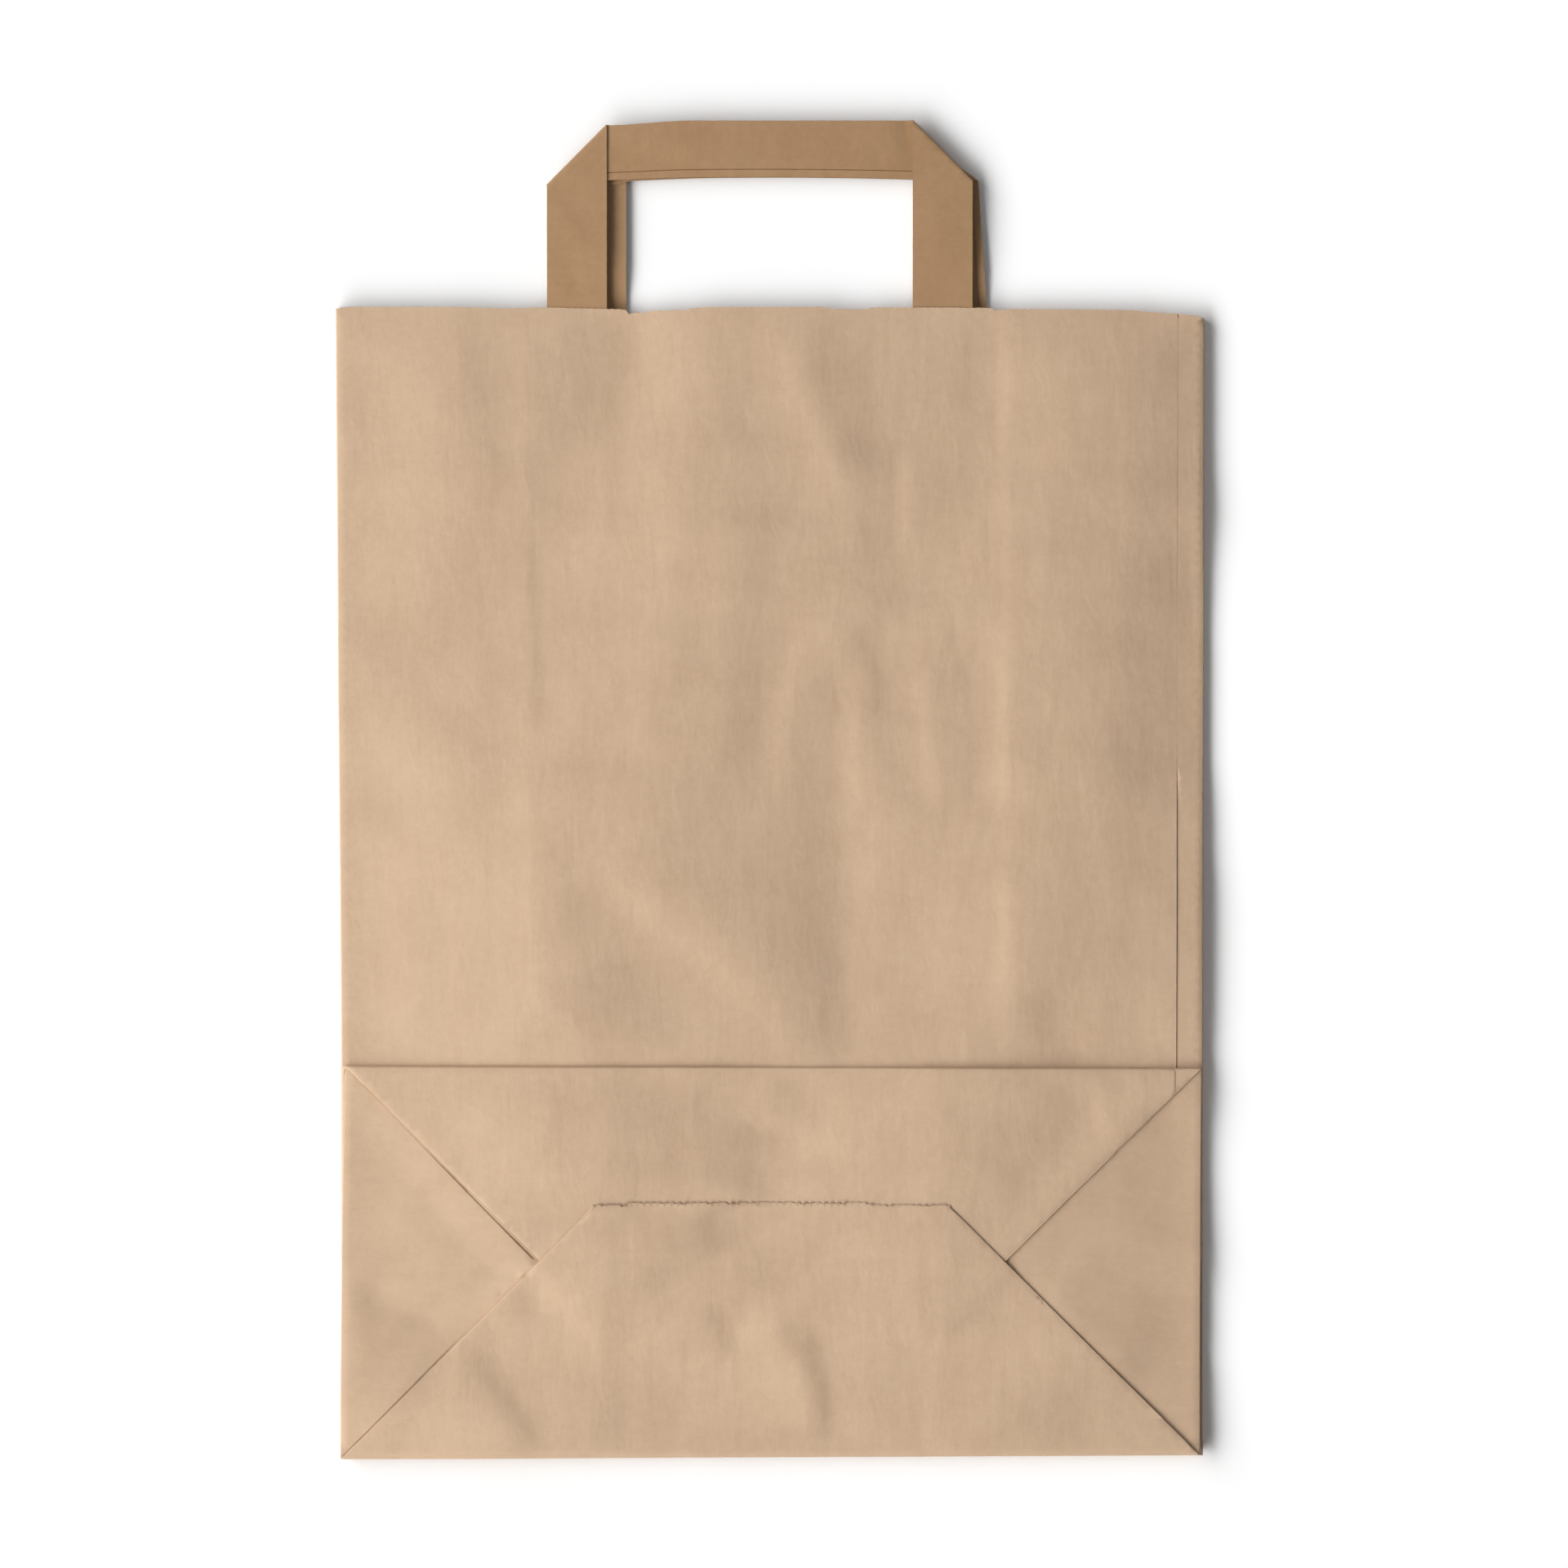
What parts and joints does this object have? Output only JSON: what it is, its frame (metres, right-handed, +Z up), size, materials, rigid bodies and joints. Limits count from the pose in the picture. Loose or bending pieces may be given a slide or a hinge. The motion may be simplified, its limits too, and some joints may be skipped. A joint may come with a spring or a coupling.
{
  "type": "paper carrier bag",
  "caption": "Flat-folded kraft paper carrier bag with side gussets, a block bottom turned up onto its front, and flat paper handles at the mouth.",
  "frame": {"origin": "under the middle of the whole outline, handles included, on the surface that the flat bag lies on", "axes": "+X across the bag to the side with the lengthwise seam, +Y from the bottom fold to the mouth and handles, +Z up out of the front of the bag"},
  "size_m": [0.26, 0.402, 0.0046],
  "materials": {
    "kraft_body": "plain brown kraft paper, matt, faintly ribbed and fibrous",
    "kraft_strip": "darker brown kraft paper, folded to three plies and pressed flat"
  },
  "bodies": {
    "root": {"bag_body": "kraft_body", "front_handle": "kraft_strip", "back_handle": "kraft_strip", "front_handle_patch": "kraft_body", "back_handle_patch": "kraft_body"}
  },
  "joints": []
}
